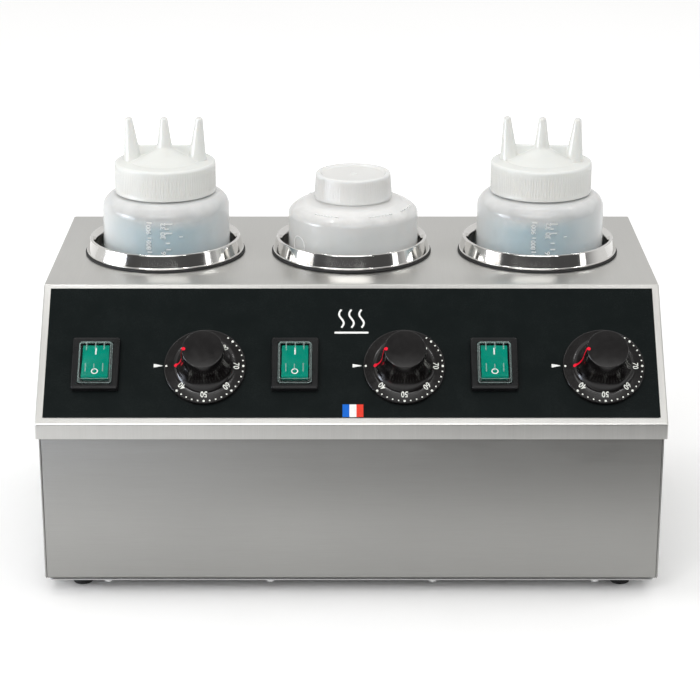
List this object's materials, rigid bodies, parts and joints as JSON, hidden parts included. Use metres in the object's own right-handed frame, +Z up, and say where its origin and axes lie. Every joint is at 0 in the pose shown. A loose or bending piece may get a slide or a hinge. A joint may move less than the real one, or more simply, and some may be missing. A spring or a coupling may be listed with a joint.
{
  "type": "countertop sauce bottle warmer",
  "caption": "Countertop warmer for squeeze bottles: steel case with heated wells, rocker switches, thermostat dials on a sloped face, and capped bottles.",
  "frame": {"origin": "centre of the bounding box at the height the feet stand on", "axes": "+X to the operator's right along the row of wells, +Y to the rear, +Z up; the control face looks to -Y and up"},
  "size_m": [0.4, 0.256, 0.2828],
  "materials": {
    "cover_steel": "brushed stainless sheet",
    "bottom_steel": "plain mill finish",
    "overlay_film": "satin printed film",
    "foot_rubber": "matt",
    "screw_steel": "bright",
    "collar_steel": "polished stainless",
    "gasket_rubber": "matt",
    "heater_mica": "steel-sheathed mica band",
    "sensor_copper": "bright copper",
    "thermostat_plastic": "moulded",
    "spindle_steel": "turned",
    "knob_plastic": "gloss black",
    "switch_black": "fine moulded texture",
    "rocker_green": "gloss",
    "splash_cover_clear": "clear and flexible",
    "bottle_translucent": "translucent, milky",
    "cap_white": "milky white",
    "seal_white": "foam",
    "gland_black": "moulded",
    "terminal_white": "moulded",
    "loom_black": "sleeved"
  },
  "bodies": {
    "casing": {"top_cover": "cover_steel", "front_panel": "cover_steel", "rear_panel": "cover_steel", "left_side_panel": "cover_steel", "right_side_panel": "cover_steel", "bottom_plate": "bottom_steel", "control_overlay": "overlay_film", "foot_1": "foot_rubber", "foot_2": "foot_rubber", "foot_3": "foot_rubber", "foot_4": "foot_rubber", "bottom_screw_1": "screw_steel", "bottom_screw_2": "screw_steel", "bottom_screw_3": "screw_steel", "bottom_screw_4": "screw_steel", "cover_screw_1": "screw_steel", "cover_screw_2": "screw_steel", "well_1": "collar_steel", "well_2": "collar_steel", "well_3": "collar_steel", "well_gasket_1": "gasket_rubber", "well_gasket_2": "gasket_rubber", "well_gasket_3": "gasket_rubber", "heater_band_1": "heater_mica", "heater_band_2": "heater_mica", "heater_band_3": "heater_mica", "sensor_bulb_1": "sensor_copper", "sensor_bulb_2": "sensor_copper", "sensor_bulb_3": "sensor_copper", "thermostat_1": "thermostat_plastic", "thermostat_2": "thermostat_plastic", "thermostat_3": "thermostat_plastic", "switch_housing_1": "switch_black", "switch_housing_2": "switch_black", "switch_housing_3": "switch_black", "switch_cover_1": "splash_cover_clear", "switch_cover_2": "splash_cover_clear", "switch_cover_3": "splash_cover_clear", "cable_gland": "gland_black", "gland_nut": "gland_black", "terminal_block": "terminal_white", "wiring_loom": "loom_black"},
    "knob_1": {"knob_1": "knob_plastic", "knob_spindle_1": "spindle_steel"},
    "rocker_1": {"switch_rocker_1": "rocker_green"},
    "bottle_1": {"bottle_1": "bottle_translucent"},
    "seal_1": {"cap_seal_1": "seal_white"},
    "cap_1": {"cap_1": "cap_white"},
    "knob_2": {"knob_2": "knob_plastic", "knob_spindle_2": "spindle_steel"},
    "rocker_2": {"switch_rocker_2": "rocker_green"},
    "bottle_2": {"bottle_2": "bottle_translucent"},
    "seal_2": {"cap_seal_2": "seal_white"},
    "cap_2": {"cap_2": "cap_white"},
    "knob_3": {"knob_3": "knob_plastic", "knob_spindle_3": "spindle_steel"},
    "rocker_3": {"switch_rocker_3": "rocker_green"},
    "bottle_3": {"bottle_3": "bottle_translucent"},
    "seal_3": {"cap_seal_3": "seal_white"},
    "cap_3": {"cap_3": "cap_white"}
  },
  "joints": [
    {"name": "knob_1_turn", "type": "hinge", "parent": "casing", "child": "knob_1", "pos_m": [-0.0934, -0.10013, 0.14757], "axis": [0, 0.7071, -0.7071], "range_deg": [0, 235]},
    {"name": "rocker_1_tilt", "type": "hinge", "parent": "casing", "child": "rocker_1", "pos_m": [-0.163, -0.09766, 0.14722], "axis": [1, 0, 0], "range_deg": [0, 17]},
    {"name": "bottle_1_lift", "type": "slide", "parent": "casing", "child": "bottle_1", "axis": [0, 0, 1], "range_m": [0, 0.185]},
    {"name": "cap_1_rise", "type": "slide", "parent": "bottle_1", "child": "seal_1", "axis": [0, 0, 1], "range_m": [0, 0.0151]},
    {"name": "cap_1_turn", "type": "hinge", "parent": "seal_1", "child": "cap_1", "pos_m": [-0.1258, 0.02171, 0.24], "axis": [0, 0, 1], "range_deg": [0, 1080]},
    {"name": "knob_2_turn", "type": "hinge", "parent": "casing", "child": "knob_2", "pos_m": [0.0336, -0.10013, 0.14757], "axis": [0, 0.7071, -0.7071], "range_deg": [0, 235]},
    {"name": "rocker_2_tilt", "type": "hinge", "parent": "casing", "child": "rocker_2", "pos_m": [-0.036, -0.09766, 0.14722], "axis": [1, 0, 0], "range_deg": [0, 17]},
    {"name": "bottle_2_lift", "type": "slide", "parent": "casing", "child": "bottle_2", "axis": [0, 0, 1], "range_m": [0, 0.185]},
    {"name": "cap_2_rise", "type": "slide", "parent": "bottle_2", "child": "seal_2", "axis": [0, 0, 1], "range_m": [0, 0.0151]},
    {"name": "cap_2_turn", "type": "hinge", "parent": "seal_2", "child": "cap_2", "pos_m": [0.0012, 0.02171, 0.24], "axis": [0, 0, 1], "range_deg": [0, 1080]},
    {"name": "knob_3_turn", "type": "hinge", "parent": "casing", "child": "knob_3", "pos_m": [0.1606, -0.10013, 0.14757], "axis": [0, 0.7071, -0.7071], "range_deg": [0, 235]},
    {"name": "rocker_3_tilt", "type": "hinge", "parent": "casing", "child": "rocker_3", "pos_m": [0.091, -0.09766, 0.14722], "axis": [1, 0, 0], "range_deg": [0, 17]},
    {"name": "bottle_3_lift", "type": "slide", "parent": "casing", "child": "bottle_3", "axis": [0, 0, 1], "range_m": [0, 0.185]},
    {"name": "cap_3_rise", "type": "slide", "parent": "bottle_3", "child": "seal_3", "axis": [0, 0, 1], "range_m": [0, 0.0151]},
    {"name": "cap_3_turn", "type": "hinge", "parent": "seal_3", "child": "cap_3", "pos_m": [0.1282, 0.02171, 0.24], "axis": [0, 0, 1], "range_deg": [0, 1080]}
  ],
  "couplings": [
    {"joint": "cap_1_rise", "follows": "cap_1_turn", "m_per_rad": 0.00079577},
    {"joint": "cap_2_rise", "follows": "cap_2_turn", "m_per_rad": 0.00079577},
    {"joint": "cap_3_rise", "follows": "cap_3_turn", "m_per_rad": 0.00079577}
  ]
}
